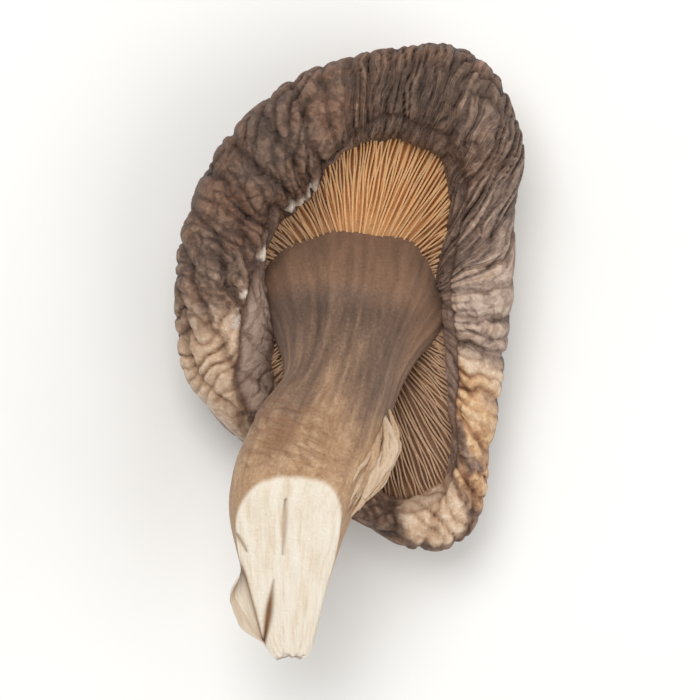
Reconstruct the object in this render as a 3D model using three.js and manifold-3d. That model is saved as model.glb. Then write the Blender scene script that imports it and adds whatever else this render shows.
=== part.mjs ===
// A dried shiitake mushroom, lying on its crown with its gills up.
// Units are millimetres and +Z is up. The origin is the middle of the flat spot that it rests on.
// It grew as one piece, so cap, gills and stem are fused into one solid.
import * as THREE from "three";
import { ParametricGeometry } from "three/addons/geometries/ParametricGeometry.js";
import { mergeVertices } from "three/addons/utils/BufferGeometryUtils.js";
import Module from "manifold-3d";

// Cap, seen from above: its radius at even steps counter-clockwise from +X.
// The right side is straight between two far corners, and the outline pulls in beside the stem.
const CAP_RADII = [
  13.2, 14.9, 20.0, 22.9, 20.6, 18.5, 17.1, 15.5,
  14.8, 15.0, 14.8, 15.4, 18.2, 22.2, 16.7, 13.8,
];
const CAP_MEAN_RADIUS = 16.9;

// Cap, seen from the side: a flat-bottomed bowl whose margin rolls inwards
const RIM_HEIGHT = 12.4;
const RIM_LIFT = 2.4;
const RIM_DIP = 1.5;
const ROLL_WIDTH = 5.8;
const ROLL_SWELL = 2.7;
const ROLL_ASPECT = 0.55;
const ROLL_TURN = THREE.MathUtils.degToRad(205);
const BOWL_SQUARENESS = 2.6;
const CROWN_SINK = 0.45;

// Directions round the cap, counter-clockwise from +X
const BROAD_SIDE = THREE.MathUtils.degToRad(112);
const STEM_SIDE = THREE.MathUtils.degToRad(255);

// Flesh of the cap
const CROWN_FLESH = 3.8;
const MARGIN_FLESH_SHARE = 0.28;
const MARGIN_FLESH_LEAST = 0.9;
const MARGIN_FLESH_MOST = 2.1;

// Gills on the underside of the cap
const GILL_COUNT = 60;
const GILL_DEPTH = 2.2;

// Wrinkles of the dried skin: two crossing sets of waves, each bent by the other direction
const WRINKLE_DEPTH = 0.55;
const WRINKLE_LENGTH = 4.6;
const WRINKLE_BEND = 1.3;
const BEND_LENGTHS = [7.7, 6.6];
const BEND_STARTS = [0.9, 2.1];
const WRINKLE_LEFT_ON_MARGIN = 0.4;

// Broad lumps under the wrinkles
const LUMP_DEPTH = 0.5;
const LUMP_LENGTHS = [27, 33];
const LUMP_STARTS = [0.8, 0.4];

// Folds across the margin, closer together in some places than in others
const MARGIN_FOLDS = 30;
const MARGIN_FOLD_DEPTH = 0.28;
const MARGIN_FOLD_DRIFT = 1.6;
const MARGIN_FOLD_GROUPS = 3;

// Zones between crown and margin where a feature comes or goes, in quarter turns of the skin
const FLESH_THINS = [0.35, 1.15];
const CROWN_ENDS = [0.32, 0.62];
const MARGIN_STARTS = [0.8, 1.5];
const GILLS_RISE = [0.04, 0.14];
const GILLS_FADE = [0.72, 1.2];

// Stem, from inside the flesh of the cap to its cut end
const STEM_PATH = [
  [0.5, 1.4, 1.4],
  [0.5, 0.8, 4.4],
  [0.3, -1.8, 8.0],
  [-1.2, -7.6, 12.2],
  [-4.2, -15.4, 15.3],
  [-5.8, -23.0, 16.6],
  [-5.7, -30.0, 16.6],
];
const STEM_RADIUS = 4.9;
const STEM_FLARE = 2.4;
const STEM_FLARE_SHARE = 0.32;
const STEM_TIP_RADIUS = 1.9;
const STEM_TAPER_FROM = 0.76;
const STEM_GROOVES = 7;
const STEM_GROOVE_DEPTH = 0.22;
const STEM_GROOVE_TWIST = 2.2;
const STEM_SIDES = 28;
const STEM_STEPS = 22;

// Slanted knife cut that opens the stem's pale flesh
const CUT_POINT = [-4.6, -15.2, 20.0];
const CUT_SLOPE = THREE.MathUtils.degToRad(17);

// Torn strip of stem skin beside the cut
const STRIP_PATH = [
  [2.2, -7.5, 12.0],
  [2.3, -12.0, 14.2],
  [0.4, -16.0, 15.6],
  [-1.2, -19.6, 15.8],
];
const STRIP_RADIUS = 1.5;
const STRIP_END_SHARE = 0.1;
const STRIP_FLATNESS = 0.35;
const STRIP_SIDES = 9;
const STRIP_STEPS = 10;

// Mesh density of the cap: two columns for each gill
const CAP_COLUMNS = 2 * GILL_COUNT;
const BOWL_ROWS = 14;
const ROLL_ROWS = 9;
const INNER_ROLL_ROWS = 6;
const INNER_BOWL_ROWS = 10;

// Blocks larger than the whole mushroom trim it
const TRIM_SIZE = 120;

// Vertices closer than this are one, and edges that the joins leave shorter than a sliver are closed up
const SAME_VERTEX = 1e-4;
const SLIVER = 0.03;

const QUARTER = Math.PI / 2;
const FULL = 2 * Math.PI;
const { smoothstep, lerp, clamp } = THREE.MathUtils;

function inZone(turn, [from, to]) {
  return smoothstep(turn, from * QUARTER, to * QUARTER);
}

// Outline of the cap: a closed curve through the radii

const radiusCurve = new THREE.CatmullRomCurve3(
  CAP_RADII.map((radius) => new THREE.Vector3(radius, 0, 0)),
  true,
  "catmullrom",
);

function capRadius(theta) {
  return radiusCurve.getPoint(theta / FULL).x;
}

function rollWidth(theta) {
  return ROLL_WIDTH + ROLL_SWELL * Math.cos(theta - BROAD_SIDE);
}

function rimHeight(theta) {
  const dip = Math.max(0, Math.cos(theta - STEM_SIDE)) ** 4;
  return RIM_HEIGHT + RIM_LIFT * Math.cos(theta - BROAD_SIDE) - RIM_DIP * dip;
}

// Outer skin in the half-plane at theta: turn 0 is the crown, a quarter turn the widest point,
// and the rest is the rolled margin. Gives distance from the axis and height.

function skinPoint(theta, turn) {
  const radius = capRadius(theta);
  const width = rollWidth(theta);
  const rollHeight = ROLL_ASPECT * width;
  const widestHeight = rimHeight(theta) - rollHeight;
  if (turn <= QUARTER) {
    const reach = Math.sin(turn) ** (2 / BOWL_SQUARENESS);
    const rise = 1 - Math.sqrt(Math.max(0, 1 - reach ** BOWL_SQUARENESS));
    return new THREE.Vector2(radius * reach, widestHeight * rise - CROWN_SINK * (1 - rise));
  }
  const roll = turn - QUARTER;
  return new THREE.Vector2(
    radius - (width / 2) * (1 - Math.cos(roll)),
    widestHeight + rollHeight * Math.sin(roll),
  );
}

function skinNormal(theta, turn) {
  const step = 1e-3;
  const before = skinPoint(theta, Math.max(turn - step, 0));
  const after = skinPoint(theta, turn + step);
  const along = after.sub(before).normalize();
  return new THREE.Vector2(along.y, -along.x);
}

// Thickness of the flesh, from the crown to the thin margin

function fleshThickness(theta, turn) {
  const margin = clamp(MARGIN_FLESH_SHARE * rollWidth(theta), MARGIN_FLESH_LEAST, MARGIN_FLESH_MOST);
  return lerp(CROWN_FLESH, margin, inZone(turn, FLESH_THINS));
}

// Relief of the skin: broad lumps, bent wrinkles and folds across the margin

function wave(place, length, start = 0) {
  return Math.sin((FULL * place) / length + start);
}

function skinRelief(theta, turn) {
  const reach = CAP_MEAN_RADIUS * (turn / QUARTER);
  const x = reach * Math.cos(theta);
  const y = reach * Math.sin(theta);
  const across = wave(x, WRINKLE_LENGTH, WRINKLE_BEND * wave(y, BEND_LENGTHS[0], BEND_STARTS[0]));
  const along = wave(y, WRINKLE_LENGTH, WRINKLE_BEND * wave(x, BEND_LENGTHS[1], BEND_STARTS[1]));
  const lumps = wave(x, LUMP_LENGTHS[0], LUMP_STARTS[0]) * wave(y, LUMP_LENGTHS[1], LUMP_STARTS[1]);
  const folds = Math.cos(MARGIN_FOLDS * theta + MARGIN_FOLD_DRIFT * Math.sin(MARGIN_FOLD_GROUPS * theta));
  const offCrown = inZone(turn, CROWN_ENDS);
  const onMargin = inZone(turn, MARGIN_STARTS);
  const wrinkles = across * along * lerp(1, WRINKLE_LEFT_ON_MARGIN, onMargin);
  return offCrown * (LUMP_DEPTH * lumps + WRINKLE_DEPTH * wrinkles) + MARGIN_FOLD_DEPTH * folds * onMargin;
}

// Height of the gills: every other column of the mesh is the crest of a gill

function gillHeight(column, turn) {
  const crest = Math.round(column) % 2 === 0 ? 1 : 0;
  return GILL_DEPTH * crest * inZone(turn, GILLS_RISE) * (1 - inZone(turn, GILLS_FADE));
}

// Closed surface of the cap: row 0 is the middle of the crown, then the skin runs out and over the
// rolled margin, and the gill side runs back to the middle.

function skinTurn(row) {
  if (row <= BOWL_ROWS) return QUARTER * (row / BOWL_ROWS);
  return QUARTER + ROLL_TURN * ((row - BOWL_ROWS) / ROLL_ROWS);
}

function gillTurn(row) {
  if (row <= INNER_ROLL_ROWS) return QUARTER + ROLL_TURN * (1 - row / INNER_ROLL_ROWS);
  return QUARTER * (1 - (row - INNER_ROLL_ROWS) / INNER_BOWL_ROWS);
}

const SKIN_ROWS = BOWL_ROWS + ROLL_ROWS;
const GILL_ROWS = INNER_ROLL_ROWS + INNER_BOWL_ROWS;
const CAP_ROWS = SKIN_ROWS + 1 + GILL_ROWS;

function capPoint(u, v, target) {
  const theta = FULL * u;
  const row = Math.round(v * CAP_ROWS);
  const onSkin = row <= SKIN_ROWS;
  const turn = onSkin ? skinTurn(row) : gillTurn(row - SKIN_ROWS - 1);
  const normal = turn > 0 ? skinNormal(theta, turn) : new THREE.Vector2(0, -1);
  const offset = onSkin
    ? skinRelief(theta, turn)
    : -fleshThickness(theta, turn) - gillHeight(u * CAP_COLUMNS, turn);
  const point = skinPoint(theta, turn).addScaledVector(normal, offset);
  target.set(point.x * Math.cos(theta), point.x * Math.sin(theta), point.y);
}

// Tube along a curve, closed at both ends, whose radius depends on the place along and round it

function tubeGeometry(path, radiusAt, sides, steps) {
  const curve = new THREE.CatmullRomCurve3(path.map((p) => new THREE.Vector3(...p)));
  const frames = curve.computeFrenetFrames(steps, false);
  const tubePoint = (u, v, target) => {
    const row = Math.round(v * (steps + 2)) - 1;
    const step = clamp(row, 0, steps);
    const along = step / steps;
    const angle = FULL * u;
    const radius = row === step ? radiusAt(along, angle) : 0;
    target
      .copy(curve.getPointAt(along))
      .addScaledVector(frames.normals[step], radius * Math.cos(angle))
      .addScaledVector(frames.binormals[step], radius * Math.sin(angle));
  };
  return new ParametricGeometry(tubePoint, sides, steps + 2);
}

function stemRadius(along, angle) {
  const flare = STEM_FLARE * (1 - smoothstep(along, 0, STEM_FLARE_SHARE));
  const taper = Math.max(0, (along - STEM_TAPER_FROM) / (1 - STEM_TAPER_FROM));
  const end = lerp(STEM_TIP_RADIUS, STEM_RADIUS, Math.sqrt(1 - taper ** 2));
  const groove = STEM_GROOVE_DEPTH * Math.cos(STEM_GROOVES * angle + STEM_GROOVE_TWIST * along);
  return end + flare + groove;
}

function stripRadius(along, angle) {
  const ends = Math.sin(Math.PI * lerp(STRIP_END_SHARE, 1 - STRIP_END_SHARE, along));
  return STRIP_RADIUS * ends * (1 - STRIP_FLATNESS * Math.cos(2 * angle));
}

// Solids for joining and cutting

const wasm = await Module();
wasm.setup();

function solidOf(geometry) {
  const bare = geometry.clone();
  bare.deleteAttribute("normal");
  bare.deleteAttribute("uv");
  const merged = mergeVertices(bare, SAME_VERTEX);
  const corners = merged.index.array;
  const triangles = [];
  for (let i = 0; i < corners.length; i += 3) {
    const [a, b, c] = corners.slice(i, i + 3);
    if (a !== b && b !== c && c !== a) triangles.push(a, b, c);
  }
  return new wasm.Manifold(
    new wasm.Mesh({
      numProp: 3,
      vertProperties: merged.attributes.position.array,
      triVerts: new Uint32Array(triangles),
    }),
  );
}

function geometryOf(solid) {
  const mesh = solid.getMesh();
  const geometry = new THREE.BufferGeometry();
  geometry.setAttribute("position", new THREE.BufferAttribute(mesh.vertProperties, mesh.numProp));
  geometry.setIndex(new THREE.BufferAttribute(mesh.triVerts, 1));
  geometry.computeVertexNormals();
  return geometry;
}

// The outer body alone, so that a pocket sealed between gills is filled

function largestBody(solid) {
  return solid.decompose().reduce((best, body) => (body.volume() > best.volume() ? body : best));
}

function trimBlock(middle, tilt) {
  const block = new THREE.BoxGeometry(TRIM_SIZE, TRIM_SIZE, TRIM_SIZE);
  block.translate(0, 0, middle);
  block.rotateX(tilt);
  return block;
}

const cap = solidOf(new ParametricGeometry(capPoint, CAP_COLUMNS, CAP_ROWS));
const wholeStem = solidOf(tubeGeometry(STEM_PATH, stemRadius, STEM_SIDES, STEM_STEPS));
const strip = solidOf(tubeGeometry(STRIP_PATH, stripRadius, STRIP_SIDES, STRIP_STEPS));
const knife = solidOf(trimBlock(TRIM_SIZE / 2, CUT_SLOPE).translate(...CUT_POINT));
const table = solidOf(trimBlock(-TRIM_SIZE / 2, 0));

const stem = wholeStem.subtract(knife).add(strip);
const mushroom = largestBody(cap.add(stem).subtract(table).simplify(SLIVER));

const driedFlesh = new THREE.MeshStandardMaterial({ color: 0x6e5a4c, roughness: 0.85, metalness: 0 });
const shiitake = new THREE.Mesh(geometryOf(mushroom), driedFlesh);
shiitake.name = "shiitake";

const group = new THREE.Group();
group.add(shiitake);

export default group;
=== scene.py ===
# %% [markdown]
# # A dried shiitake mushroom
# The mushroom lies on its crown, so the picture looks down into the cap. It grew as one piece, but three
# surfaces of it look nothing alike: leathery wrinkled skin, papery gills and a fibrous stem. Each one
# gets a mesh of its own here, built from formulas in numpy, so that the wrinkles are real geometry. Only
# the finest lines and pores are left to the materials.
# Lengths are in millimetres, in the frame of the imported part. Only the table, the lamps and the camera's
# clipping are in metres, as Blender counts.

import bpy
import numpy as np
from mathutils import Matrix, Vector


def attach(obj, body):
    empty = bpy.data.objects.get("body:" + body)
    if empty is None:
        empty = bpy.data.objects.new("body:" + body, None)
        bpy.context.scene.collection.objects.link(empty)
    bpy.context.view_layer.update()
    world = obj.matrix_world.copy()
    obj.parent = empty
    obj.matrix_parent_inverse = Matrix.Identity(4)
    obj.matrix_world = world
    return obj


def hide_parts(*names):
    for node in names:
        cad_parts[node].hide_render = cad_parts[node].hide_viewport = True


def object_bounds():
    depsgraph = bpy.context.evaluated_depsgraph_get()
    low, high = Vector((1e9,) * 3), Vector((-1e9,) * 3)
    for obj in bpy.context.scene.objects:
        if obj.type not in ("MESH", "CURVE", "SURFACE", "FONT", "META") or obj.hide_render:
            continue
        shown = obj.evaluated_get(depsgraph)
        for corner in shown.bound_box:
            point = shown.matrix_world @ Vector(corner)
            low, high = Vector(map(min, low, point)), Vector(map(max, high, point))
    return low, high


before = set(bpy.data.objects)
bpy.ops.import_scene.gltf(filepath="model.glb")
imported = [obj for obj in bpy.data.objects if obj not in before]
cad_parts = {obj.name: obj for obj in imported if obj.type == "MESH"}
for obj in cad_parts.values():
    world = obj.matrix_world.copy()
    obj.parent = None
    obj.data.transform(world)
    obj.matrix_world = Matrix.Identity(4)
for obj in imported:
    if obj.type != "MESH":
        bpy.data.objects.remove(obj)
cad_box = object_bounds()
MM = 0.001
QUARTER = np.pi / 2
FULL = 2 * np.pi
cad_low, cad_high = (np.array(corner) / MM for corner in cad_box)
print("CAD box:", cad_low.round(1), "to", cad_high.round(1), "mm")

# %% [markdown]
# ## Camera
# The photographer stood far back and looked straight at the open side. A long lens keeps the near stem
# and the far crown at nearly one scale, as a product picture does.

# %% Camera
PICTURE_SIDE = 59.0
PICTURE_HEIGHT = 12.0
LENS = 280.0
SENSOR = 36.0
CLIP_NEAR = 0.01
CLIP_FAR = 20.0

camera = bpy.data.objects.new("camera", bpy.data.cameras.new("camera"))
camera.data.lens = LENS
camera.data.sensor_width = SENSOR
camera_height = PICTURE_HEIGHT + PICTURE_SIDE * LENS / SENSOR
aim_x, aim_y, _ = (cad_low + cad_high) / 2
camera.location = (aim_x * MM, aim_y * MM, camera_height * MM)
camera.data.clip_start = CLIP_NEAR
camera.data.clip_end = CLIP_FAR
bpy.context.scene.collection.objects.link(camera)
bpy.context.scene.camera = camera
print("camera", round(camera_height), "mm above the table, looking straight down")

# %% [markdown]
# ## Materials, one node at a time
# A procedural finish is a chain of small nodes. This helper adds a node per call and hands back its
# output, so that a finish reads from top to bottom. Colours are given as they look on a screen, and
# turned into the linear values that a shader needs.

# %% Finish helper
def screen_colour(red, green, blue):
    value = np.array([red, green, blue]) / 255
    linear = np.where(value <= 0.04045, value / 12.92, ((value + 0.055) / 1.055) ** 2.4)
    return (*linear, 1.0)


class Finish:
    """A material in the making: each method adds one node and gives its output."""

    def __init__(self, name):
        self.material = bpy.data.materials.new(name)
        self.material.use_nodes = True
        self.tree = self.material.node_tree
        self.shader = self.tree.nodes["Principled BSDF"]

    def node(self, kind, **inputs):
        made = self.tree.nodes.new(kind)
        for name, value in inputs.items():
            self.feed(made.inputs[name.replace("_", " ")], value)
        return made

    def feed(self, socket, value):
        if isinstance(value, bpy.types.NodeSocket):
            self.tree.links.new(value, socket)
        else:
            socket.default_value = value

    def trait(self, name, output="Fac"):
        made = self.node("ShaderNodeAttribute")
        made.attribute_name = name
        return made.outputs[output]

    def place(self):
        return self.node("ShaderNodeTexCoord").outputs["Object"]

    def stretch(self, place, scales):
        made = self.node("ShaderNodeVectorMath")
        made.operation = "MULTIPLY"
        self.feed(made.inputs[0], place)
        self.feed(made.inputs[1], scales)
        return made.outputs[0]

    def noise(self, size, place, detail=4.0, roughness=0.55):
        """Cloudy noise whose blotches are about size millimetres across."""
        made = self.node("ShaderNodeTexNoise", Vector=place, Scale=1 / (size * MM), Detail=detail)
        made.inputs["Roughness"].default_value = roughness
        return made.outputs["Fac"]

    def hairlines(self, size, width, place):
        """0 on thin wandering lines about size millimetres apart, rising to 1 beside them."""
        cloud = self.noise(size, place, detail=2.5)
        return self.spread(self.math("ABSOLUTE", self.math("SUBTRACT", cloud, 0.5), 0.0), 0.0, width)

    def math(self, operation, first, second):
        made = self.node("ShaderNodeMath")
        made.operation = operation
        self.feed(made.inputs[0], first)
        self.feed(made.inputs[1], second)
        return made.outputs[0]

    def spread(self, value, low, high):
        """The value stretched so that low becomes 0 and high becomes 1."""
        made = self.node("ShaderNodeMapRange", Value=value, From_Min=low, From_Max=high)
        return made.outputs["Result"]

    def ramp(self, value, *stops):
        made = self.node("ShaderNodeValToRGB", Fac=value)
        while len(made.color_ramp.elements) < len(stops):
            made.color_ramp.elements.new(0.5)
        for element, (position, colour) in zip(made.color_ramp.elements, stops):
            element.position = position
            element.color = screen_colour(*colour)
        return made.outputs["Color"]

    def mix(self, share, first, second):
        made = self.node("ShaderNodeMix")
        made.data_type = "RGBA"
        self.feed(made.inputs[0], share)
        for index, colour in ((6, first), (7, second)):
            self.feed(made.inputs[index], screen_colour(*colour) if isinstance(colour, tuple) else colour)
        return made.outputs[2]

    def bump(self, height, depth, under=None):
        """Small relief of a depth in millimetres, on top of the relief under it."""
        made = self.node("ShaderNodeBump", Height=height, Distance=depth * MM)
        if under is not None:
            self.feed(made.inputs["Normal"], under)
        return made.outputs["Normal"]

    def done(self, colour, roughness, normal, specular=0.3, sheen=0.0):
        for name, value in (("Base Color", colour), ("Roughness", roughness), ("Normal", normal)):
            self.feed(self.shader.inputs[name], value)
        self.shader.inputs["Specular IOR Level"].default_value = specular
        self.shader.inputs["Sheen Weight"].default_value = sheen
        print("finish", self.material.name, "with", len(self.tree.nodes), "nodes")
        return self.material


# %% [markdown]
# ## Table and light
# The mushroom shows best on a plain pale table under large soft lamps. The key lamp hangs high over the
# far side, a little to the left, so that the rolled margin throws a soft shadow into the cap.

# %% Table and light
TABLE_SIDE = 6.0
TABLE_DROP = 0.00002
SKY_COLOUR = (1.0, 0.99, 0.97, 1.0)
SKY_STRENGTH = 0.53


def add_lamp(name, spot, side, power):
    lamp = bpy.data.objects.new(name, bpy.data.lights.new(name, "AREA"))
    lamp.data.size = side
    lamp.data.energy = power
    lamp.location = spot
    lamp.rotation_euler = (-lamp.location).to_track_quat("-Z", "Y").to_euler()
    bpy.context.scene.collection.objects.link(lamp)


def table_finish():
    finish = Finish("pale_table")
    cloud = finish.noise(40, finish.place())
    colour = finish.ramp(cloud, (0.3, (238, 237, 234)), (0.7, (243, 242, 240)))
    return finish.done(colour, finish.spread(cloud, -1.5, 2.0), finish.bump(cloud, 0.05))


bpy.ops.mesh.primitive_plane_add(size=TABLE_SIDE, location=(0, 0, -TABLE_DROP))
table = bpy.context.object
table.name = "table"
table.data.materials.append(table_finish())
add_lamp("key_lamp", spot=(-0.10, 0.24, 0.62), side=0.36, power=2.4)
add_lamp("fill_lamp", spot=(0.42, -0.12, 0.42), side=0.50, power=1.25)
add_lamp("back_lamp", spot=(0.10, 0.60, 0.25), side=0.40, power=0.45)

world = bpy.data.worlds.new("studio")
bpy.context.scene.world = world
world.use_nodes = True
sky = world.node_tree.nodes["Background"]
sky.inputs["Color"].default_value = SKY_COLOUR
sky.inputs["Strength"].default_value = SKY_STRENGTH
bpy.context.scene.view_settings.view_transform = "Standard"

# %% [markdown]
# ## Bodies made of rings
# Cap, gill blades, stem and loose fibres are all closed bodies with a skin that wraps round something,
# so one builder serves them all: a stack of rings joined by quads, with a fan closing each end. Values
# kept at each point, here called traits, tell the materials where they are.

# %% Ring builder
FAN_STRIP = 0.01
MAP_MARGIN = 0.02


def closed_rings(rings, **traits):
    """One closed body from rings of shape (count, around, 3), with a value of each trait at each point."""
    count, around, _ = rings.shape
    points = np.concatenate([rings.reshape(-1, 3), rings[[0, -1]].mean(axis=1)])
    row, column = (index.ravel() for index in np.mgrid[0 : count - 1, 0:around])
    after = (column + 1) % around
    corners = [row * around + column, row * around + after]
    corners += [(row + 1) * around + after, (row + 1) * around + column]
    first = np.arange(around)
    second = (first + 1) % around
    last = (count - 1) * around
    start_fan = np.stack([np.full(around, count * around), second, first], axis=1)
    end_fan = np.stack([np.full(around, count * around + 1), last + first, last + second], axis=1)
    across = np.stack([column, column + 1, column + 1, column], axis=1) / around
    up = np.stack([row, row, row + 1, row + 1], axis=1) / (count - 1)
    fan = np.stack([first + 0.5, first + 1, first], axis=1) / around
    fan_up = np.tile([0.0, FAN_STRIP, FAN_STRIP], (around, 1))
    pairs = [(across, up), (fan, fan_up), (fan[:, [0, 2, 1]], 1 - fan_up)]
    places = [np.stack(pair, axis=2).reshape(-1, 2) for pair in pairs]
    filled = {}
    for name, value in traits.items():
        value = np.broadcast_to(value, (count, around, *np.shape(value)[2:]))
        ends = value[[0, -1]].mean(axis=1)
        filled[name] = np.concatenate([value.reshape(count * around, *value.shape[2:]), ends])
    faces = [np.stack(corners, axis=1), start_fan, end_fan]
    return {"points": points, "faces": faces, "places": np.concatenate(places), "traits": filled}


def add_piece(name, bodies, material):
    """One object from closed bodies, each with its own tile of the piece's map."""
    tiles = int(np.ceil(np.sqrt(len(bodies))))
    faces, places, start = [], [], 0
    for number, body in enumerate(bodies):
        for block in body["faces"]:
            faces.extend((block + start).tolist())
        corner = np.array([number % tiles, number // tiles])
        places.append((corner + MAP_MARGIN + (1 - 2 * MAP_MARGIN) * body["places"]) / tiles)
        start += len(body["points"])
    mesh = bpy.data.meshes.new(name)
    mesh.from_pydata(np.concatenate([body["points"] for body in bodies]) * MM, [], faces)
    mesh.uv_layers.new(name="OFBake").data.foreach_set("uv", np.concatenate(places).ravel())
    for trait in bodies[0]["traits"]:
        value = np.concatenate([body["traits"][trait] for body in bodies])
        kind, field = ("FLOAT_VECTOR", "vector") if value.ndim == 2 else ("FLOAT", "value")
        mesh.attributes.new(trait, kind, "POINT").data.foreach_set(field, value.astype(np.float32).ravel())
    mesh.shade_smooth()
    mesh.materials.append(material)
    piece = bpy.data.objects.new(name, mesh)
    bpy.context.scene.collection.objects.link(piece)
    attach(piece, "root")
    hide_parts("shiitake")
    print(name, "has", len(bodies), "closed bodies and", len(faces), "faces")
    return piece


# %% [markdown]
# ## Form of the cap
# The cap is a bowl whose margin rolled inwards as it dried. Going round it, the outline has a straight
# right side between two far corners. Going outwards from the crown, a turn of a quarter circle reaches
# the widest point, and the rest of the turn is the roll. The main values are those of the solid or close
# to them. The bulges of the roll and the two details of the outline are added here.

# %% Cap form
CAP_RADII = np.array(
    [13.2, 14.6, 19.9, 22.7, 20.6, 18.5, 17.1, 15.5, 14.8, 15.0, 14.8, 15.4, 18.2, 22.2, 16.7, 13.8]
)
OUTLINE_DETAILS = [(56, 10, 0.7), (35, 9, -0.6)]
RIM_HEIGHT = 12.4
RIM_LIFT = 2.4
RIM_DIP = 1.5
ROLL_WIDTH = 5.8
ROLL_SWELL = 2.7
ROLL_BULGES = [(203, 25, 2.5), (5, 32, 1.3), (318, 26, 3.0), (291, 8, 1.0), (48, 22, 1.7)]
ROLL_ASPECT = 0.55
ROLL_TURN = np.radians(212)
BOWL_SQUARENESS = 2.6
CROWN_LIFT = 0.5
BROAD_SIDE = np.radians(112)
STEM_SIDE = np.radians(255)


def smooth(value, low, high):
    share = np.clip((value - low) / (high - low), 0, 1)
    return share * share * (3 - 2 * share)


def through(values, place):
    """Smooth curve through evenly numbered values, read at a place between 0 and the last number."""
    step = np.clip(np.floor(place).astype(int), 0, len(values) - 4)
    share = np.reshape(place - step, np.shape(place) + (1,) * (values.ndim - 1))
    a, b, c, d = (values[step + k] for k in range(4))
    return b + 0.5 * share * (c - a + share * (2 * a - 5 * b + 4 * c - d + share * (3 * (b - c) + d - a)))


def towards(theta, degrees, half_width):
    """1 in one direction round the cap, fading to 0 over about half_width degrees."""
    away = (np.degrees(theta) - degrees + 180) % 360 - 180
    return np.exp(-((away / half_width) ** 2))


def cap_radius(theta):
    wrapped = np.concatenate([CAP_RADII[-1:], CAP_RADII, CAP_RADII[:2]])
    details = sum(size * towards(theta, side, spread) for side, spread, size in OUTLINE_DETAILS)
    return through(wrapped, (theta % FULL) / FULL * len(CAP_RADII)) + details


def roll_width(theta):
    bulges = sum(size * towards(theta, side, spread) for side, spread, size in ROLL_BULGES)
    return ROLL_WIDTH + ROLL_SWELL * np.cos(theta - BROAD_SIDE) + bulges


def rim_height(theta):
    dip = np.maximum(0, np.cos(theta - STEM_SIDE)) ** 4
    return RIM_HEIGHT + RIM_LIFT * np.cos(theta - BROAD_SIDE) - RIM_DIP * dip


def skin_profile(theta, turn):
    """Distance from the axis and height of the smooth skin."""
    width = roll_width(theta)
    roll_height = ROLL_ASPECT * width
    widest_height = rim_height(theta) - roll_height
    bowl = np.clip(turn, 0, QUARTER)
    rise = 1 - np.cos(bowl)
    roll = np.maximum(turn - QUARTER, 0)
    distance = cap_radius(theta) * np.sin(bowl) ** (2 / BOWL_SQUARENESS) - width / 2 * (1 - np.cos(roll))
    height = widest_height * rise + CROWN_LIFT * (1 - rise) + roll_height * np.sin(roll)
    return distance, height


# %% [markdown]
# ## Wrinkles
# Drying skin buckles: it shrinks less than the flesh under it, and the spare length folds into rounded
# ridges with sharp creases between them. The same sum describes other buckled sheets, so over a hundred
# steps of it grow a believable labyrinth from noise. Two labyrinths, a fine and a broad one, are laid
# over the cap: flat on the crown, and wrapped like a band round the wall and the roll.

# %% Wrinkle pattern
PATTERN_CELLS = 640
PATTERN_SIZE = 112.0
CELLS_PER_MM = PATTERN_CELLS / PATTERN_SIZE
BUCKLING = 0.3
FINE_RIDGE = 1.15
BROAD_RIDGE = 2.9
RIDGE_ROUNDNESS = 2.4
FINE_DRIFT = 0.45


def wave_numbers():
    across = np.fft.rfftfreq(PATTERN_CELLS)[None, :]
    return FULL * CELLS_PER_MM * np.hypot(np.fft.fftfreq(PATTERN_CELLS)[:, None], across)


def grow_labyrinth(seed, ridge_width, steps=140, pace=0.6):
    """Buckling grown from seeded noise: its stripes keep one width and wander freely."""
    field = 0.1 * np.random.default_rng(seed).standard_normal((PATTERN_CELLS, PATTERN_CELLS))
    wanted = np.pi / ridge_width
    growth = BUCKLING - (1 - (wave_numbers() / wanted) ** 2) ** 2
    for _ in range(steps):
        field = np.fft.irfft2(np.fft.rfft2(field - pace * field**3) / (1 - pace * growth))
    return field / np.sqrt(4 / 3 * BUCKLING)


def cloud_noise(seed, size):
    """Soft seeded noise from about -1 to 1 with blotches of that size in millimetres."""
    grain = np.random.default_rng(seed).standard_normal((PATTERN_CELLS, PATTERN_CELLS))
    field = np.fft.irfft2(np.fft.rfft2(grain) * np.exp(-((wave_numbers() * size / 4) ** 2)))
    return field / (2 * field.std())


def read_field(field, x, y):
    """Value of an endless pattern at places in millimetres."""
    across, up = x * CELLS_PER_MM, y * CELLS_PER_MM
    column, row = np.floor(across).astype(int), np.floor(up).astype(int)
    part_x, part_y = across - column, up - row
    columns = column % PATTERN_CELLS, (column + 1) % PATTERN_CELLS
    rows = row % PATTERN_CELLS, (row + 1) % PATTERN_CELLS
    lower = field[rows[0], columns[0]] * (1 - part_x) + field[rows[0], columns[1]] * part_x
    upper = field[rows[1], columns[0]] * (1 - part_x) + field[rows[1], columns[1]] * part_x
    return lower * (1 - part_y) + upper * part_y


def ridges(value):
    """Round ridges with sharp creases where the labyrinth changes sign."""
    return 1 - (1 - np.minimum(np.abs(value), 1)) ** RIDGE_ROUNDNESS


fine_labyrinth = grow_labyrinth(seed=11, ridge_width=FINE_RIDGE)
broad_labyrinth = grow_labyrinth(seed=12, ridge_width=BROAD_RIDGE)
clouds = cloud_noise(seed=5, size=6.0)
patches = cloud_noise(seed=9, size=2.4)
drift_x = cloud_noise(seed=6, size=3.5) + FINE_DRIFT * cloud_noise(seed=16, size=1.3)
drift_y = cloud_noise(seed=7, size=3.5) + FINE_DRIFT * cloud_noise(seed=17, size=1.3)
specks = cloud_noise(seed=8, size=0.9)
print("wrinkle pattern covers", PATTERN_SIZE, "mm in", PATTERN_CELLS, "cells")

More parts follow.
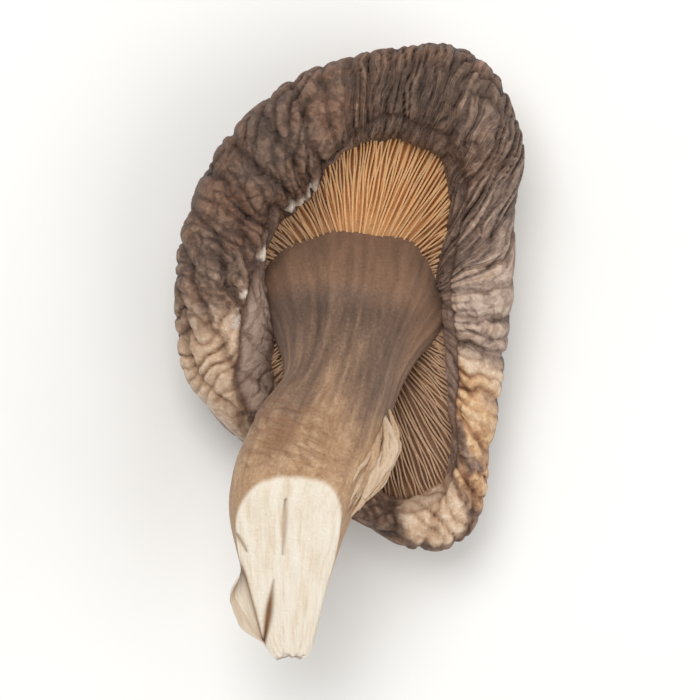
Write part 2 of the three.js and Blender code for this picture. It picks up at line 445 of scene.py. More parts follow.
# %% [markdown]
# ## Lay of the wrinkles
# The folds don't lie the same way everywhere. On the left they are short and knotted. At the far side
# they become a comb of fine lines across the roll, and on the right they slant. Stretching, slanting and
# crowding the band does all three. A fold also runs along the roll, where its inner side has sunk: on
# the left it wanders from the inner edge to the outside, and on the right it stays about two thirds of
# the way in. A place round the cap is given as its direction and its half width, in degrees.

# %% Lay of the wrinkles
CAP_COLUMNS = 608
BOWL_ROWS = 54
ROLL_ROWS = 68
LIP_WAVES = [(0.03, 7, 1.0), (0.02, 19, 2.0), (0.012, 43, 0.0)]
LEFT_SIDE = (175, 55)
RIGHT_SIDE = (28, 24)
COMB_SIDE = (70, 26)
CALM_SIDE = (350, 25)
FOLD_EDGE_SIDE = (150, 44)
COMB_CROWDING = 1.1
RIGHT_SLANT = 0.65
BAND_DRIFT = 0.7
BAND_STRETCH = 0.72
LEFT_STRETCH = 0.28
COMB_STRETCH = -0.4
RIGHT_STRETCH = -0.2
FOLD_DIRECTIONS = [0, 25, 55, 81, 97, 115, 149, 173, 195, 205, 215, 231, 250, 300, 318, 345]
FOLD_SHARES = [0.74, 0.68, 0.78, 0.7, 0.9, 1.0, 0.96, 0.76, 0.57, 0.5, 0.33, 0.24, 0.3, 0.75, 0.68, 0.72]
FOLD_STRENGTHS = [1, 0.8, 0.5, 0.7, 1, 1, 1, 1, 1, 1, 1, 0.7, 0, 0.4, 1, 1]

theta = np.arange(CAP_COLUMNS) / CAP_COLUMNS * FULL
ragged = sum(size * np.cos(count * theta + start) for size, count, start in LIP_WAVES)
bowl_turns = np.linspace(0.01, 1, BOWL_ROWS, endpoint=False)[:, None] * QUARTER * np.ones_like(theta)
roll_turns = QUARTER + np.linspace(0, 1, ROLL_ROWS)[:, None] * ROLL_TURN * (1 + ragged)
turn = np.concatenate([bowl_turns, roll_turns])
skin_r, skin_z = skin_profile(theta, turn)
step_r, step_z = np.gradient(skin_r, axis=0), np.gradient(skin_z, axis=0)
step = np.hypot(step_r, step_z)
normal_r, normal_z = step_z / step, -step_r / step
length = np.cumsum(step, axis=0)
past_widest = length - length[BOWL_ROWS]
to_lip = length[-1] - length
roll_share = (1 - np.cos(np.clip(turn - QUARTER, 0, np.pi))) / 2

left_side = towards(theta, *LEFT_SIDE)
right_side = towards(theta, *RIGHT_SIDE)
comb_side = towards(theta, *COMB_SIDE)
outline = cap_radius(theta) * np.exp(1j * theta)
run = np.cumsum(np.abs(np.roll(outline, -1) - outline) * (1 + COMB_CROWDING * comb_side))
run *= PATTERN_SIZE / run[-1]
stretch = BAND_STRETCH + LEFT_STRETCH * left_side + COMB_STRETCH * comb_side + RIGHT_STRETCH * right_side
band_x = run + RIGHT_SLANT * right_side * np.maximum(past_widest, 0)
band_y = past_widest * stretch
band_x = band_x + BAND_DRIFT * read_field(drift_x, run + 0 * past_widest, past_widest)
band_y = band_y + BAND_DRIFT * read_field(drift_y, run + 0 * past_widest, past_widest)
flat_x, flat_y = skin_r * np.cos(theta), skin_r * np.sin(theta)


def skin_zone(low, high):
    """0 on the skin before low quarter turns from the crown, rising to 1 at high."""
    return smooth(turn, low * QUARTER, high * QUARTER)


on_wall = skin_zone(0.5, 0.85)


def over_cap(field, shape=lambda value: value):
    """A pattern laid flat on the crown and wrapped round the wall and the roll."""
    crown = shape(read_field(field, flat_x, flat_y))
    return crown + on_wall * (shape(read_field(field, band_x, band_y)) - crown)


lumps = over_cap(clouds)
flecks = over_cap(specks)
blots = over_cap(patches)
combed = np.clip(1.2 * comb_side + 0.8 * right_side, 0, 1) * skin_zone(0.8, 1.1)
crease_share = 0.72 + 0.65 * blots + 0.35 * combed - 0.3 * towards(theta, *CALM_SIDE)
crease_share = np.clip(crease_share, 0.1 + 0.5 * combed, 1.35)
fine = 1 - (1 - over_cap(fine_labyrinth, ridges)) * crease_share
broad = over_cap(broad_labyrinth, ridges)
directions = np.degrees(theta)
fold_share = np.interp(directions, FOLD_DIRECTIONS, FOLD_SHARES, period=360) + 0.03 * lumps
fold_strength = np.interp(directions, FOLD_DIRECTIONS, FOLD_STRENGTHS, period=360)
past_fold = roll_share - fold_share
sunk_side = smooth(past_fold, -0.01, 0.07) * fold_strength
fold_edge = np.exp(-(((past_fold + 0.05) / 0.055) ** 2)) * fold_strength * towards(theta, *FOLD_EDGE_SIDE)
fold_edge = smooth(fold_edge * (0.55 + 0.5 * blots + 0.9 * flecks), 0.3, 0.75)
print("fine and broad ridges over", turn.size, "points of skin")

# %% [markdown]
# ## Cap mesh
# The skin runs from the crown out and over the roll to the lip, and the flesh side runs back to the
# middle. Relief is pushed along the skin's normal. Near the margin the flesh is thin and follows the
# wrinkles, so both faces are displaced together and the thickness stays.

# %% Cap mesh
LIP_ROWS = 4
FINE_DEPTH = 0.34
BROAD_DEPTH = 0.5
LUMP_DEPTH = 0.4
FOLD_DEPTH = 0.7
CROWN_FLESH = 3.8
MARGIN_FLESH_SHARE = 0.28
MARGIN_FLESH_LIMITS = (0.9, 2.1)
LIP_FLESH = 0.45
GILL_BED = 2.2
FOLD_EDGE_RISE = 0.25
# Painted light: the gills and the gill bed are coloured lit on this far side and shaded elsewhere.
LIT_GILL_SIDE = (75, 52)
DARK_UPPER_LEFT = (130, 30)
DARK_FAR_SIDE = (80, 30)
LIT_LEFT = (200, 30)
LOW_LEFT_PATCH = (209, 25)
LOW_RIGHT_PATCH = (326, 9)
CORNER_PATCH = (291, 6)
RIDGE_HIGHLIGHT_SIDE = (355, 30)
OCHRE_PATCH = (315, 15)
LOWER_EDGE_PATCH = (222, 13)
GREYER_SIDE = (0, 36)

lip_fade = smooth(to_lip, 0.0, 2.5)
relief = FINE_DEPTH * (fine - 0.65) * (0.4 + 0.6 * lip_fade) * (1 - 0.6 * sunk_side)
relief += BROAD_DEPTH * (broad - 0.6) * lip_fade * (1 - 0.5 * sunk_side) * (1 - 0.6 * comb_side)
relief += LUMP_DEPTH * lumps * lip_fade
relief += FOLD_EDGE_RISE * fold_edge - FOLD_DEPTH * sunk_side * lip_fade

margin_flesh = np.clip(MARGIN_FLESH_SHARE * roll_width(theta), *MARGIN_FLESH_LIMITS)
flesh = CROWN_FLESH + (margin_flesh - CROWN_FLESH) * skin_zone(0.35, 1.15)
flesh = LIP_FLESH + (flesh - LIP_FLESH) * smooth(to_lip, -0.5, 4.0)
flesh = flesh + GILL_BED * (1 - skin_zone(0.55, 1.0))
follow = 0.15 + 0.75 * skin_zone(0.5, 1.2)


def spin(distance, height):
    """Rings of points at these distances from the axis and heights, never under the table."""
    height = np.maximum(height, 0.0)
    return np.stack([distance * np.cos(theta), distance * np.sin(theta), height], axis=-1)


outer = spin(skin_r + normal_r * relief, skin_z + normal_z * relief)
inset = relief * follow - flesh
inner_r, inner_z = skin_r + normal_r * inset, skin_z + normal_z * inset
inner = spin(inner_r, inner_z)
inner_rows = np.concatenate([np.arange(len(turn) - 1, BOWL_ROWS, -3), np.arange(BOWL_ROWS, 0, -5)])
lip_angle = np.linspace(0, np.pi, LIP_ROWS + 2)[1:-1, None, None]
lip_middle = (outer[-1] + inner[-1]) / 2
lip_way = outer[-1] - outer[-2]
lip_way /= np.linalg.norm(lip_way, axis=1, keepdims=True)
lip_half = np.linalg.norm(outer[-1] - lip_middle, axis=1, keepdims=True)
lip = lip_middle + np.cos(lip_angle) * (outer[-1] - lip_middle) + np.sin(lip_angle) * lip_half * lip_way

outside_fold = 1 - sunk_side
low_left = 0.85 * towards(theta, *LOW_LEFT_PATCH) * skin_zone(0.9, 1.2) * outside_fold
low_right = 1.5 * towards(theta, *LOW_RIGHT_PATCH) * skin_zone(1.0, 1.25) * outside_fold
corner_flap = 2.2 * towards(theta, *CORNER_PATCH) * skin_zone(1.3, 1.7)
# Painted highlights: pale tan on the ridge crests at the right of the roll.
right_ridge_highlights = 0.5 * towards(theta, *RIDGE_HIGHLIGHT_SIDE) * skin_zone(1.0, 1.3) * outside_fold
right_ridge_highlights = right_ridge_highlights * fine**4 * smooth(blots + lumps, 0.0, 0.9)
ochre = 1.5 * towards(theta, *OCHRE_PATCH) * skin_zone(1.0, 1.25) * outside_fold
ochre = smooth(ochre * (0.8 + 0.5 * blots + 0.4 * flecks), 0.3, 0.9)
# pale gathers the pale patches of the skin and the painted ridge highlights.
pale = np.maximum.reduce([low_left, low_right, corner_flap, right_ridge_highlights])
pale = smooth(pale * (0.8 + 0.35 * lumps + 0.2 * flecks + 0.35 * broad), 0.05, 1.0)
lower_edge = np.exp(-(((roll_share - 0.03) / 0.04) ** 2)) * skin_zone(0.97, 1.0)
lower_edge = 0.8 * lower_edge * towards(theta, *LOWER_EDGE_PATCH) * smooth(flecks, -0.9, 0.0)
bare = np.clip(np.maximum(fold_edge, lower_edge), 0, 1)
# Painted shade: a dark band just inside the fold, and the roll darker at its upper left and on the far
# side. Painted light: the sunk inner side of the roll is lighter on the left.
fold_shade = 1 - 0.45 * np.exp(-(((past_fold - 0.05) / 0.05) ** 2)) * fold_strength
shaded = 0.26 * towards(theta, *DARK_UPPER_LEFT) + 0.1 * towards(theta, *DARK_FAR_SIDE)
shaded = shaded - 0.36 * sunk_side * towards(theta, *LIT_LEFT)
crest = (0.62 * fine + 0.38 * broad - shaded) * fold_shade
# The right side of the roll is coloured greyer and paler.
rubbed = towards(theta, *GREYER_SIDE) * skin_zone(0.9, 1.3) * outside_fold
rubbed = np.clip(rubbed * (0.9 + 0.3 * lumps), 0, 1)
skin_lay = np.stack([band_x, 0.1 * past_widest, 0 * turn], axis=-1) * MM


def skin_then_flesh(skin_values, flesh_values):
    """A trait over the skin, round the lip and back over the flesh side."""
    between = np.repeat(((skin_values[-1] + flesh_values[-1]) / 2)[None], LIP_ROWS, axis=0)
    return np.concatenate([skin_values, between, flesh_values[inner_rows]])


cap_body = closed_rings(
    np.concatenate([outer, lip, inner[inner_rows]]),
    crest=skin_then_flesh(crest, crest),
    pale=skin_then_flesh(pale, pale * 0.3),
    bare=skin_then_flesh(bare, bare),
    inside=skin_then_flesh(sunk_side * 0.8 * (roll_share > 0), np.ones_like(turn)),
    ochre=skin_then_flesh(ochre, 0 * turn),
    rubbed=skin_then_flesh(rubbed, 0 * turn),
    combed=skin_then_flesh(combed, 0 * turn),
    lay=skin_then_flesh(skin_lay, skin_lay),
    dull=skin_then_flesh(0 * turn, (1 - towards(theta, *LIT_GILL_SIDE)) * np.ones_like(turn)),
    gilled=skin_then_flesh(0 * turn, 1 - skin_zone(0.95, 1.3)),
)
print("skin is", length.max().round(1), "mm from crown to lip")

# %% [markdown]
# ## Skin finish
# The skin's colour runs from darkest in its creases, which is painted shade over its own dark brown, to
# palest on its ridges. Tan and rust patches show on the outside of the roll where the dark skin has worn
# off. Pale painted highlights lie on the ridge crests at the right, and the right side of the roll is
# coloured greyer and paler. The crest trait from the wrinkles drives the colour. It also carries painted
# shade along the fold and at the upper left, and painted light on the sunk left side. Noise of several
# sizes keeps any ridge from looking like its neighbour. Each ramp lists places from crease to ridge with
# their colours.

# %% Skin finish
GREY_SKIN = [(0.15, (36, 26, 21)), (0.55, (90, 70, 59)), (0.8, (126, 102, 87)), (1.0, (168, 144, 126))]
WARM_SKIN = [(0.15, (40, 26, 18)), (0.55, (103, 74, 58)), (0.8, (140, 108, 87)), (1.0, (180, 151, 126))]
TAN = [(0.15, (98, 66, 46)), (0.45, (162, 128, 101)), (0.75, (204, 173, 144)), (1.0, (234, 214, 190))]
MAUVE = [(0.15, (58, 45, 38)), (0.5, (138, 115, 102)), (0.75, (184, 160, 144)), (1.0, (208, 187, 170))]
RUST = [(0.15, (88, 54, 34)), (0.45, (148, 106, 76)), (0.75, (198, 156, 116)), (1.0, (230, 203, 164))]
INNER_SKIN = [(0.15, (90, 72, 63)), (0.6, (144, 119, 106)), (1.0, (174, 151, 138))]
BARE_FLESH = (214, 198, 183)
LIT_GILL_BED = (192, 140, 92)
SHADED_GILL_BED = (140, 106, 80)


def skin_finish():
    finish = Finish("wrinkled_skin")
    place = finish.place()
    blotches = finish.noise(5.0, place)
    grain = finish.noise(0.45, place, detail=6.0, roughness=0.65)
    pores = finish.noise(0.16, place, detail=3.0)
    calm = finish.math("MAXIMUM", finish.trait("combed"), finish.trait("pale"))
    calm = finish.math("MULTIPLY", finish.math("MAXIMUM", calm, finish.trait("inside")), 0.7)
    hairlines = finish.math("MAXIMUM", finish.hairlines(1.9, 0.09, place), calm)
    comb = finish.spread(finish.noise(0.5, finish.trait("lay", "Vector"), detail=3.0), 0.38, 0.58)
    comb = finish.math("MAXIMUM", comb, finish.spread(finish.trait("combed"), 0.9, 0.3))
    lines = finish.math("MULTIPLY", finish.spread(hairlines, -1.8, 1.0), finish.spread(comb, -2.2, 1.0))
    lines = finish.math("MULTIPLY", lines, 0.74)
    # Painted shade: this value runs dark in the creases and carries the crest trait's painted shade and
    # light.
    tone_and_shade = finish.math("MULTIPLY", finish.trait("crest"), lines)
    tone_and_shade = finish.math("ADD", tone_and_shade, finish.spread(grain, 0.3, 1.7))
    grey = finish.ramp(tone_and_shade, *GREY_SKIN)
    warm = finish.ramp(tone_and_shade, *WARM_SKIN)
    skin = finish.mix(finish.spread(blotches, 0.42, 0.62), grey, warm)
    for trait, stops in (("rubbed", MAUVE), ("pale", TAN), ("ochre", RUST), ("inside", INNER_SKIN)):
        skin = finish.mix(finish.trait(trait), skin, finish.ramp(tone_and_shade, *stops))
    # Painted light and shade on the gill bed: lighter on the far side, darker elsewhere.
    gill_bed = finish.mix(finish.trait("dull"), LIT_GILL_BED, SHADED_GILL_BED)
    skin = finish.mix(finish.trait("gilled"), skin, gill_bed)
    skin = finish.mix(finish.trait("bare"), skin, BARE_FLESH)
    relief = finish.bump(pores, 0.05, finish.bump(grain, 0.14))
    relief = finish.bump(comb, 0.16, finish.bump(hairlines, 0.1, relief))
    return finish.done(skin, finish.spread(tone_and_shade, -1.4, 2.1), relief)


add_piece("cap", [cap_body], skin_finish())

# %% [markdown]
# ## Gills
# Gills are thin blades that grow from the flesh and run from the stem towards the margin, with shorter
# ones filling in where the long ones part. Each is a closed strip with a thin wavy crest, sunk a little
# into the flesh. They dried to waves and lean on each other, so each has its own wave and lean.

# %% Gill blades
GILL_GROUPS = 76
GILL_STARTS = [(4.5, 5.2), (8.2, 10.0), (6.2, 7.2), (8.2, 10.0)]
GILL_STATIONS = 28
GILL_DEPTH = 0.68
GILL_SINK = 0.5
GILL_HALF_THICKNESS = 0.095
GILL_RIPPLE = 0.05
GILL_WAVE = 0.1
GILL_SEED = 21
GILL_SECTION = np.array([(0, 1.5), (0.5, 1.0), (1, 0.7), (1, -0.7), (0.5, -1.0), (0, -1.5)])


def flesh_at(angle, turns):
    """Points of the gill-side flesh in one direction, with the way into the cap."""
    column = int(angle / FULL * CAP_COLUMNS) % CAP_COLUMNS
    values = (inner_r, inner_z, normal_r, normal_z)
    found = [np.interp(turns, turn[:, column], value[:, column]) for value in values]
    return np.stack(found[:2], axis=1), -np.stack(found[2:], axis=1)


def gill_blade(number, draw):
    angle = (number + draw.uniform(-0.2, 0.2)) / (len(GILL_STARTS) * GILL_GROUPS) * FULL
    first_reach = draw.uniform(*GILL_STARTS[number % len(GILL_STARTS)]) / cap_radius(angle)
    start = np.arcsin(first_reach ** (BOWL_SQUARENESS / 2))
    end = QUARTER * draw.uniform(1.0, 1.14)
    share = np.linspace(0, 1, GILL_STATIONS)
    foot, inwards = flesh_at(angle, start + (end - start) * share)
    depth = GILL_DEPTH * draw.uniform(0.88, 1.06) * smooth(share, 0, 0.16) * (1 - smooth(share, 0.6, 1.0))
    ripples = np.sin(share * 40 + draw.uniform(0, FULL)) + np.sin(share * 90 + draw.uniform(0, FULL))
    depth *= 1 + GILL_RIPPLE * ripples
    wave = GILL_WAVE * np.sin(share * draw.uniform(10, 22) + draw.uniform(0, FULL))
    wave = wave + draw.uniform(-GILL_WAVE, GILL_WAVE)
    level = GILL_SECTION[None, :, 0]
    rise = level * depth[:, None] - GILL_SINK * (1 - level)
    side = GILL_SECTION[None, :, 1] * GILL_HALF_THICKNESS + wave[:, None] * level**1.5
    flat = foot[:, None, :] + inwards[:, None, :] * rise[..., None]
    x = flat[..., 0] * np.cos(angle) - side * np.sin(angle)
    y = flat[..., 0] * np.sin(angle) + side * np.cos(angle)
    rings = np.stack([x, y, flat[..., 1]], axis=-1)
    # Painted light and shade: each blade is marked lit on the far side and shaded elsewhere.
    dull = 1 - towards(angle, *LIT_GILL_SIDE) + draw.uniform(-0.2, 0.2)
    traits = {"level": level, "outwards": share[:, None], "dull": np.clip(dull, 0, 1)}
    return closed_rings(rings, **{name: value + 0 * side for name, value in traits.items()})


def gill_finish():
    finish = Finish("papery_gills")
    streaks = finish.noise(0.5, finish.place(), detail=5.0)
    height = finish.math("MULTIPLY", finish.trait("level"), 0.6)
    value = finish.math("ADD", height, finish.spread(streaks, 0.25, 1.6))
    # Painted light and shade: the amber ramp is the lit gill colour and the brown ramp the shaded one.
    amber = finish.ramp(value, (0.1, (190, 131, 78)), (0.5, (218, 165, 110)), (1.0, (236, 194, 144)))
    brown = finish.ramp(value, (0.1, (110, 80, 60)), (0.5, (156, 122, 95)), (1.0, (190, 157, 128)))
    colour = finish.mix(finish.trait("dull"), amber, brown)
    # Painted shade: the outer ends of the blades, under the roll, turn dark grey-brown.
    colour = finish.mix(finish.spread(finish.trait("outwards"), 0.78, 1.0), colour, (122, 98, 84))
    return finish.done(colour, finish.spread(streaks, -2.0, 1.8), finish.bump(streaks, 0.06))


draw = np.random.default_rng(GILL_SEED)
blades = [gill_blade(number, draw) for number in range(len(GILL_STARTS) * GILL_GROUPS)]
add_piece("gills", blades, gill_finish())

# %% [markdown]
# ## Stem form
# The stem leaves the middle of the cap, bends over the low side of the rim and ends in a slanted knife
# cut. It is a tube on a curve: broad where it joins the cap, slim at the bend and fuller again above the
# cut. The helpers place points evenly on a curve, put rings round it, and draw ribs and cracks.

# %% Stem form
STEM_PATH = np.array(
    [
        [0.5, 1.4, 1.4],
        [0.5, 0.8, 4.4],
        [0.3, -1.8, 8.0],
        [-1.2, -7.6, 12.2],
        [-4.6, -15.4, 15.7],
        [-5.6, -22.0, 17.5],
        [-5.3, -30.0, 15.9],
    ]
)
STEM_RADIUS = 4.7
STEM_FLARE_RIGHT = 2.7
STEM_FLARE_LEFT = 4.4
STEM_FLARE_BACK = 0.4
STEM_FLARE_START = 0.08
STEM_FLARE_END_RIGHT = 0.34
STEM_FLARE_END_LEFT = 0.42
STEM_FOOT = 0.5
STEM_SWELL = 0.55
STEM_BULGE = 0.6
STEM_SQUARENESS = 0.045
STEM_TIP_RADIUS = 1.7
STEM_TAPER_FROM = 0.62
STEM_TAPER_POWER = 1.4
STEM_GROOVES = 7
STEM_GROOVE_DEPTH = 0.13
STEM_GROOVE_TWIST = 2.2
STEM_STEPS = 270
STEM_SIDES = 190
RIB_COUNTS = (13, 17, 23, 29, 37, 46)
RIB_DEPTH = 0.1
PUCKER_DEPTH = 0.14
STEM_LUMP_DEPTH = 0.2
SLIVER_WIDTH = 1.6
SLIVER_DROP = 1.1
FRAY_COUNTS = (3, 5, 8, 13)
FRAY_LENGTH = 0.4
CRACK_DEPTH = 0.5
CUT_FIBRE_DEPTH = 0.02
CUT_POINT = np.array([-4.6, -15.4, 20.6])
CUT_SLOPE = np.radians(20.5)
CUT_NORMAL = np.array([0, -np.sin(CUT_SLOPE), np.cos(CUT_SLOPE)])
CUT_DOWN = np.array([0, -np.cos(CUT_SLOPE), -np.sin(CUT_SLOPE)])


def even_path(points, count):
    """Evenly spaced points on a smooth curve through the given ones."""
    padded = np.concatenate([2 * points[:1] - points[1:2], points, 2 * points[-1:] - points[-2:-1]])
    dense = through(padded, np.linspace(0, len(points) - 1, 600))
    run = np.concatenate([[0], np.cumsum(np.linalg.norm(np.diff(dense, axis=0), axis=1))])
    wanted = np.linspace(0, run[-1], count)
    return np.stack([np.interp(wanted, run, dense[:, axis]) for axis in range(3)], axis=1)


def tube_rings(path, radius, sides, side_axis=(1.0, 0.0, 0.0)):
    """Rings of a tube round a path, counted from the side axis, with a radius for each step or point."""
    heading = np.gradient(path, axis=0)
    heading /= np.linalg.norm(heading, axis=1, keepdims=True)
    sideways = np.array(side_axis) - heading * (heading @ np.array(side_axis))[:, None]
    sideways /= np.linalg.norm(sideways, axis=1, keepdims=True)
    upwards = np.cross(heading, sideways)
    angle = np.arange(sides) / sides * FULL
    spoke = np.cos(angle)[None, :, None] * sideways[:, None]
    spoke = spoke + np.sin(angle)[None, :, None] * upwards[:, None]
    radius = np.broadcast_to(np.reshape(radius, (len(path), -1)), (len(path), sides))
    return path[:, None] + radius[..., None] * spoke, heading


def fibre_waves(angle, along, counts, drift, seed):
    """Ribs that run lengthwise and wander a little: whole numbers of waves round, with slow drift along."""
    draw = np.random.default_rng(seed)
    total = 0
    for count in counts:
        wander = drift * np.sin(along * draw.uniform(3, 9) + draw.uniform(0, FULL))
        total = total + np.cos(count * angle + wander + draw.uniform(0, FULL))
    return total / len(counts)


def groove(place, start, end, width):
    """1 on a line between two places on a plane, fading to 0 beside it and thinner at its ends."""
    start, end = np.array(start), np.array(end)
    share = np.clip((place - start) @ (end - start) / ((end - start) @ (end - start)), 0, 1)
    away = np.linalg.norm(place - start - share[..., None] * (end - start), axis=-1)
    return np.exp(-((away / (width * (0.35 + 1.3 * np.sin(np.pi * (0.1 + 0.8 * share)) ** 2))) ** 2))


# %% [markdown]
# ## Stem mesh
# The radius is summed up from foot to tip, and then fine relief is added: the skin is ribbed lengthwise
# and puckers crosswise above the cut. Points above the knife's plane are pressed down onto it, which
# gives a flat face with enough points left for fibres and cracks.

# %% Stem mesh
along = np.linspace(0, 1, STEM_STEPS)[:, None]
around = (np.arange(STEM_SIDES) / STEM_SIDES * FULL)[None, :]
stem_path = even_path(STEM_PATH, STEM_STEPS)
stem_length = np.linalg.norm(np.diff(stem_path, axis=0), axis=1).sum()
taper = np.clip((along - STEM_TAPER_FROM) / (1 - STEM_TAPER_FROM), 0, 1) ** STEM_TAPER_POWER
swell = smooth(along, 0.36, 0.54)
squared = 1 - STEM_SQUARENESS * np.cos(4 * around) * swell
right_half = np.cos(around) > 0
flare_end = np.where(right_half, STEM_FLARE_END_RIGHT, STEM_FLARE_END_LEFT)
flare = 1 - smooth(along, STEM_FLARE_START, flare_end)
stem_radius = STEM_RADIUS + STEM_SWELL * swell
stem_radius = stem_radius + (STEM_TIP_RADIUS - stem_radius) * taper
stem_radius = stem_radius * squared * np.sqrt(1 - 0.35 * np.clip((along - 0.97) / 0.03, 0, 1) ** 2)
flare_side = np.where(right_half, STEM_FLARE_RIGHT, STEM_FLARE_LEFT)
flare_width = flare_side * np.cos(around) ** 2 + STEM_FLARE_BACK * np.sin(around) ** 2
stem_radius = stem_radius + flare * flare_width
stem_radius = stem_radius + STEM_FOOT * (1 - smooth(along, 0.15, 0.25))
stem_radius = stem_radius + STEM_BULGE * towards(around, 178, 60) * swell * (1 - smooth(along, 0.66, 0.8))

skin_x, skin_y = around / FULL * PATTERN_SIZE, along * stem_length
ribs = fibre_waves(around, along, RIB_COUNTS, drift=1.6, seed=3)
pucker_zone = smooth(along, 0.4, 0.52) * (1 - smooth(along, 0.6, 0.66)) * towards(around, 115, 60)
bent_y = skin_y * 1.3 + 1.2 * read_field(drift_y, skin_x / 2, skin_y)
pucker_depth = np.clip(0.6 + read_field(patches, skin_x / 2, skin_y), 0, 1.4)
puckers = (ridges(read_field(fine_labyrinth, skin_x / 5.5, bent_y)) - 0.65) * pucker_zone * pucker_depth
smooth_end = 1 - 0.8 * smooth(along, 0.5, 0.6)
stem_relief = STEM_GROOVE_DEPTH * np.cos(STEM_GROOVES * around + STEM_GROOVE_TWIST * along)
stem_relief = (stem_relief + RIB_DEPTH * ribs) * smooth_end + PUCKER_DEPTH * puckers
stem_relief = stem_relief + STEM_LUMP_DEPTH * read_field(clouds, skin_x, skin_y + 7) * smooth_end
sliver = towards(around, 180, 30) * smooth(along, 0.8, 0.87) * (1 - smooth(along, 0.92, 0.98))
stem_radius = stem_radius + stem_relief + SLIVER_WIDTH * sliver
stem_rings, stem_heading = tube_rings(stem_path, stem_radius, STEM_SIDES)

tip = smooth(along, 0.96, 1.0)
fray = fibre_waves(around, along, FRAY_COUNTS, drift=0.3, seed=9)
stem_rings = stem_rings + stem_heading[:, None] * (FRAY_LENGTH * fray * tip)[..., None]

over_cut = (stem_rings - CUT_POINT) @ CUT_NORMAL
on_cut = smooth(over_cut, -0.05, 0.12)
stem_rings = stem_rings - np.maximum(over_cut, 0)[..., None] * CUT_NORMAL
cut_x, cut_y = stem_rings[..., 0], (stem_rings - CUT_POINT) @ CUT_DOWN
on_plane = np.stack([cut_x, cut_y], axis=-1)
cracks = np.maximum.reduce(
    [
        0.55 * groove(on_plane, (-5.7, 1.1), (-5.9, 6.1), 0.13),
        1.2 * groove(on_plane, (-6.7, 8.4), (-7.5, 14.2), 0.17) * smooth(cut_y, 6.5, 12.0),
        0.6 * groove(on_plane, (-10.0, 3.9), (-8.9, 5.8), 0.1),
    ]
)
face_fibres = np.sin(cut_x * 9 + 0.5 * np.sin(cut_y * 0.7)) + np.sin(cut_x * 23)
split_line = -9.9 + (cut_y - 4.5) * 0.24
sliver_drop = smooth(split_line - cut_x, -0.1, 0.25) * smooth(cut_y, 6.5, 8.5)
sunk = on_cut * (CRACK_DEPTH * cracks + CUT_FIBRE_DEPTH * face_fibres + SLIVER_DROP * sliver_drop)
stem_rings = stem_rings - sunk[..., None] * CUT_NORMAL
split_gap = np.exp(-(((split_line - cut_x) / 0.16) ** 2)) * smooth(cut_y, 6.0, 8.0)
straight = np.stack(np.broadcast_arrays(np.cos(around), np.sin(around)), axis=-1) * STEM_RADIUS
straight = np.broadcast_to(straight, (STEM_STEPS, STEM_SIDES, 2))
stem_place = np.concatenate([straight, (along * stem_length / 5 + 0 * around)[..., None]], axis=-1)
paler = along + 0.22 * towards(around, 35, 40) * smooth(along, 0.38, 0.5)
paler = paler + 0.2 * towards(around, 172, 34) * smooth(along, 0.5, 0.62)
# Painted light: the stem is lighter at its root and down its left and right sides near the cap.
halo = np.abs(np.cos(around)) ** 3 * (1 - smooth(along, 0.3, 0.5))
halo = np.maximum(1 - smooth(along, 0.19, 0.27), halo)
# The painted light turns warmer at the root and on part of the right side.
amber = towards(around, 30, 45) * (1 - smooth(along, 0.2, 0.42))
amber = np.maximum(amber, 1 - smooth(along, 0.18, 0.24))
stem_body = closed_rings(
    stem_rings,
    along=paler,
    pucker=pucker_zone,
    cut=np.maximum(smooth(over_cut, -0.3, 0.1), 0.75 * smooth(along, 0.8, 0.88)),
    crack=np.clip(cracks + 0.8 * split_gap, 0, 1) * on_cut,
    rib=np.clip(0.5 + 0.3 * ribs * smooth_end + 0.6 * puckers, 0, 1),
    halo=halo,
    amber=amber,
    grain_place=stem_place * MM,
)
print("stem is", stem_length.round(1), "mm long")

# %% [markdown]
# ## Stem finish
# Near the cap the stem is grey-brown like the skin. Painted light makes a lighter rim at its root and down
# its sides near the cap, and this rim is warmer where it meets the gills. It turns tan towards the end, and
# the knife has opened flesh that is nearly white. The noise is read on a straightened copy of the stem,
# kept as a trait, so that its streaks follow the bend.

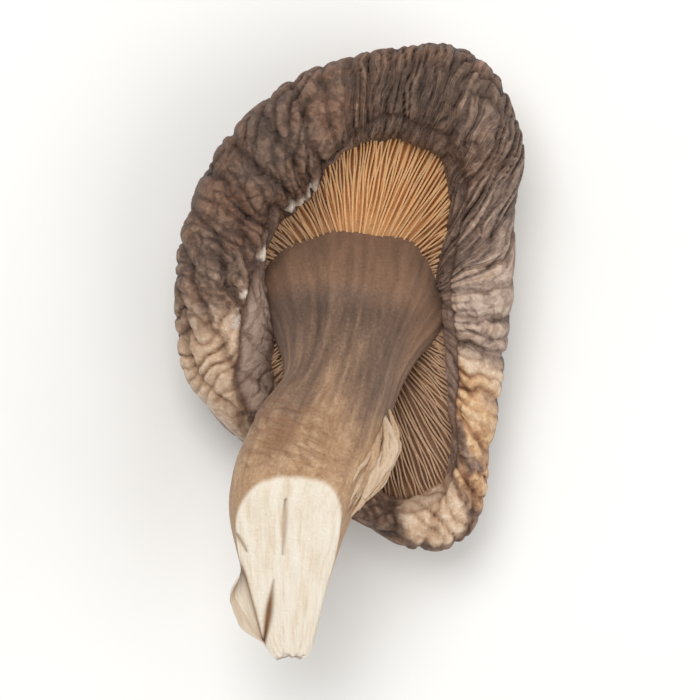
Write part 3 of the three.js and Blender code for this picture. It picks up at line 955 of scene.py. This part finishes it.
# %% Stem finish
def stem_finish():
    finish = Finish("fibrous_stem")
    grain_place = finish.trait("grain_place", "Vector")
    streaks = finish.noise(0.6, grain_place, detail=6.0, roughness=0.65)
    mottle = finish.noise(2.2, grain_place, detail=5.0, roughness=0.6)
    fuzz = finish.noise(0.26, finish.place(), detail=6.0, roughness=0.75)
    rib = finish.math("MULTIPLY", finish.trait("rib"), 0.35)
    value = finish.math("ADD", rib, finish.spread(streaks, 0.25, 1.7))
    value = finish.math("ADD", value, finish.spread(fuzz, 0.3, 1.7))
    root = finish.ramp(value, (0.15, (50, 37, 30)), (0.5, (94, 72, 60)), (0.9, (142, 116, 99)))
    middle = finish.ramp(value, (0.15, (84, 60, 44)), (0.5, (146, 115, 91)), (0.9, (196, 162, 131)))
    end = finish.ramp(value, (0.15, (116, 80, 52)), (0.5, (184, 147, 112)), (0.9, (228, 200, 163)))
    shift = finish.math("ADD", finish.trait("along"), finish.spread(mottle, 0.25, 1.35))
    colour = finish.mix(finish.spread(shift, 0.43, 0.75), root, middle)
    colour = finish.mix(finish.spread(shift, 0.69, 0.93), colour, end)
    marks = finish.hairlines(1.3, 0.11, finish.stretch(grain_place, (0.3, 0.3, 5.0)))
    marks = finish.math("MULTIPLY", finish.math("SUBTRACT", 1.0, marks), finish.trait("pucker"))
    colour = finish.mix(finish.math("MULTIPLY", marks, 0.6), colour, (138, 96, 64))
    # Painted light: near the cap the stem is mixed towards a lighter, warmer rim colour.
    rim = finish.mix(finish.trait("amber"), (150, 121, 103), (176, 132, 98))
    rim_light_share = finish.math("MULTIPLY", finish.trait("halo"), finish.spread(value, -0.3, 2.0))
    colour = finish.mix(rim_light_share, colour, rim)
    flesh = finish.ramp(streaks, (0.25, (230, 209, 182)), (0.5, (248, 236, 217)), (0.75, (252, 245, 233)))
    flesh = finish.mix(finish.spread(mottle, 0.5, 1.0), flesh, (214, 198, 164))
    colour = finish.mix(finish.trait("cut"), colour, flesh)
    colour = finish.mix(finish.trait("crack"), colour, (154, 110, 74))
    relief = finish.bump(marks, -0.15, finish.bump(fuzz, 0.14, finish.bump(streaks, 0.12)))
    return finish.done(colour, finish.spread(value, -2.0, 2.0), relief, sheen=0.1)


stem = add_piece("stem", [stem_body], stem_finish())

# %% [markdown]
# ## Torn strip
# Beside the cut, a strip of the stem's outer fibres was torn loose. It is a bundle of flat strands that
# follow one path with small offsets of their own, pale where they were pulled apart.

# %% Torn strip
STRIP_PATH = np.array([[2.0, -9.2, 13.8], [2.4, -12.0, 16.2], [1.1, -14.9, 17.9], [-0.8, -17.9, 18.7]])
STRIP_STRANDS = 15
STRIP_SPREAD = np.array([1.2, 2.4, 2.6, 2.2])
STRAND_STEPS = 44
STRAND_SIDES = 10
STRAND_WANDER = np.array([[0.25], [0.3], [0.35], [0.4]])
STRAND_WIDTHS = (0.12, 0.42)
STRIP_SEED = 33


def strip_strand(number, draw):
    share = np.linspace(0, 1, STRAND_STEPS)
    offset = draw.normal(0, 1, STRIP_PATH.shape) * STRAND_WANDER
    offset[:, 0] += (number / (STRIP_STRANDS - 1) - 0.5) * STRIP_SPREAD
    path = even_path(STRIP_PATH + offset, STRAND_STEPS)
    keep = np.linspace(draw.uniform(0, 0.1), draw.uniform(0.8, 1.0), STRAND_STEPS) * (STRAND_STEPS - 1)
    path = np.stack([np.interp(keep, np.arange(STRAND_STEPS), path[:, axis]) for axis in range(3)], axis=1)
    angle = np.arange(STRAND_SIDES) / STRAND_SIDES * FULL
    flat = 1 + 0.5 * np.cos(2 * (angle + draw.uniform(-0.5, 0.5)))
    width = draw.uniform(*STRAND_WIDTHS) * np.sin(np.pi * (0.05 + 0.92 * share)) ** 0.6
    rough = 1 + 0.15 * np.sin(share[:, None] * draw.uniform(20, 40) + 3 * angle)
    rings, _ = tube_rings(path, width[:, None] * flat * rough, STRAND_SIDES)
    place = np.stack([np.cos(angle), np.sin(angle), 0 * angle], axis=1)[None] * 0.4 + [[[number, 0, 0]]]
    place = place + share[:, None, None] * np.array([0, 0, 1.6])
    tone = draw.uniform(0.85, 1.0)
    traits = {"along": tone, "cut": draw.uniform(0.0, 0.35), "crack": 0, "rib": rough - 0.2}
    traits.update(halo=0, amber=0, pucker=0)
    filled = {name: value + np.zeros((STRAND_STEPS, STRAND_SIDES)) for name, value in traits.items()}
    return closed_rings(rings, grain_place=place * MM, **filled)


draw = np.random.default_rng(STRIP_SEED)
strands = [strip_strand(number, draw) for number in range(STRIP_STRANDS)]
add_piece("torn_strip", strands, stem.data.materials[0])
